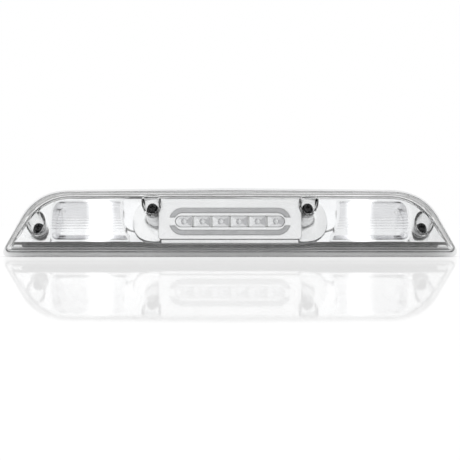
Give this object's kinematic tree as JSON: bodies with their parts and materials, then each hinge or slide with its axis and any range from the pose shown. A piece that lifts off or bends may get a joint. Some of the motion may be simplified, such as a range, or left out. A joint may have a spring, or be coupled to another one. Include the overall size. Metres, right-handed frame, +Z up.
{
  "type": "third brake light",
  "caption": "Wide clear-lens high-mounted stop lamp for a pickup cab, with a central brake window, twin light bars, side cargo lamps and recessed mounting screws.",
  "frame": {"origin": "on the cab panel plane (rear face of the gasket and screw spigots), behind the middle of the lamp", "axes": "+X along the width, +Z up, lens face looking along -Y; the cab panel leans back 24 degrees, its normal into the cab is (0, cos 24, -sin 24)"},
  "size_m": [0.441, 0.0602, 0.0673],
  "materials": {
    "clear_lens": "clear moulded polycarbonate, high gloss",
    "housing_plastic": "light grey moulded plastic",
    "gasket_foam": "closed-cell foam",
    "bezel_chrome": "bright vacuum-metallised plastic",
    "reflector_chrome": "bright vacuum-metallised plastic with fine ribs",
    "light_bar": "translucent light guide",
    "optic_clear": "clear faceted optic",
    "board_white": "white solder mask",
    "led_phosphor": "warm white emitter",
    "led_red": "clear-topped diode",
    "screw_black": "black coated steel",
    "washer_rubber": "moulded rubber",
    "small_steel": "zinc plated steel",
    "terminal_brass": "tinned brass",
    "connector_black": "black moulded plastic",
    "chip_black": "black moulded component",
    "lead_jacket": "insulated lead"
  },
  "bodies": {
    "root": {"lens_cover": "clear_lens", "rear_housing": "housing_plastic", "mounting_gasket": "gasket_foam", "centre_bezel": "bezel_chrome", "end_bezel_left": "bezel_chrome", "end_bezel_right": "bezel_chrome", "light_bar_upper": "light_bar", "light_bar_lower": "light_bar", "brake_optic_1": "optic_clear", "brake_optic_2": "optic_clear", "brake_optic_3": "optic_clear", "brake_optic_4": "optic_clear", "brake_optic_5": "optic_clear", "brake_optic_6": "optic_clear", "brake_led_board": "board_white", "brake_led_1": "led_red", "brake_led_2": "led_red", "brake_led_3": "led_red", "brake_led_4": "led_red", "brake_led_5": "led_red", "brake_led_6": "led_red", "driver_chip": "chip_black", "driver_coil": "chip_black", "board_screw_left": "small_steel", "board_screw_right": "small_steel", "reflector_screw_left": "small_steel", "reflector_screw_right": "small_steel", "cargo_reflector_left": "reflector_chrome", "cargo_reflector_right": "reflector_chrome", "cargo_led_board_left": "board_white", "cargo_led_board_right": "board_white", "cargo_led_left": "led_phosphor", "cargo_led_right": "led_phosphor", "jumper_lead_left": "lead_jacket", "jumper_lead_right": "lead_jacket", "connector_shell": "connector_black", "vent_cap_left": "connector_black", "vent_cap_right": "connector_black", "lower_light_shield": "connector_black", "terminal_pin_1": "terminal_brass", "terminal_pin_2": "terminal_brass", "terminal_pin_3": "terminal_brass", "terminal_pin_4": "terminal_brass", "boss_seal_outer_left": "washer_rubber", "boss_seal_inner_left": "washer_rubber", "boss_seal_inner_right": "washer_rubber", "boss_seal_outer_right": "washer_rubber"},
    "washer_outer_left": {"sealing_washer_outer_left": "washer_rubber"},
    "screw_outer_left": {"mount_screw_outer_left": "screw_black"},
    "washer_inner_left": {"sealing_washer_inner_left": "washer_rubber"},
    "screw_inner_left": {"mount_screw_inner_left": "screw_black"},
    "washer_inner_right": {"sealing_washer_inner_right": "washer_rubber"},
    "screw_inner_right": {"mount_screw_inner_right": "screw_black"},
    "washer_outer_right": {"sealing_washer_outer_right": "washer_rubber"},
    "screw_outer_right": {"mount_screw_outer_right": "screw_black"}
  },
  "joints": [
    {"name": "back_out_outer_left", "type": "slide", "parent": "root", "child": "washer_outer_left", "axis": [0, -0.9135, 0.4067], "range_m": [0, 0.0075]},
    {"name": "turn_outer_left", "type": "hinge", "parent": "washer_outer_left", "child": "screw_outer_left", "pos_m": [-0.185, -0.00556, -0.01249], "axis": [0, -0.9135, 0.4067], "range_deg": [0, 1080]},
    {"name": "back_out_inner_left", "type": "slide", "parent": "root", "child": "washer_inner_left", "axis": [0, -0.9135, 0.4067], "range_m": [0, 0.0075]},
    {"name": "turn_inner_left", "type": "hinge", "parent": "washer_inner_left", "child": "screw_inner_left", "pos_m": [-0.075, 0.0015, 0.00337], "axis": [0, -0.9135, 0.4067], "range_deg": [0, 1080]},
    {"name": "back_out_inner_right", "type": "slide", "parent": "root", "child": "washer_inner_right", "axis": [0, -0.9135, 0.4067], "range_m": [0, 0.0075]},
    {"name": "turn_inner_right", "type": "hinge", "parent": "washer_inner_right", "child": "screw_inner_right", "pos_m": [0.075, 0.0015, 0.00337], "axis": [0, -0.9135, 0.4067], "range_deg": [0, 1080]},
    {"name": "back_out_outer_right", "type": "slide", "parent": "root", "child": "washer_outer_right", "axis": [0, -0.9135, 0.4067], "range_m": [0, 0.0075]},
    {"name": "turn_outer_right", "type": "hinge", "parent": "washer_outer_right", "child": "screw_outer_right", "pos_m": [0.185, -0.00556, -0.01249], "axis": [0, -0.9135, 0.4067], "range_deg": [0, 1080]}
  ],
  "couplings": [
    {"joint": "turn_outer_left", "follows": "back_out_outer_left", "rad_per_m": 2513.3},
    {"joint": "turn_inner_left", "follows": "back_out_inner_left", "rad_per_m": 2513.3},
    {"joint": "turn_inner_right", "follows": "back_out_inner_right", "rad_per_m": 2513.3},
    {"joint": "turn_outer_right", "follows": "back_out_outer_right", "rad_per_m": 2513.3}
  ]
}
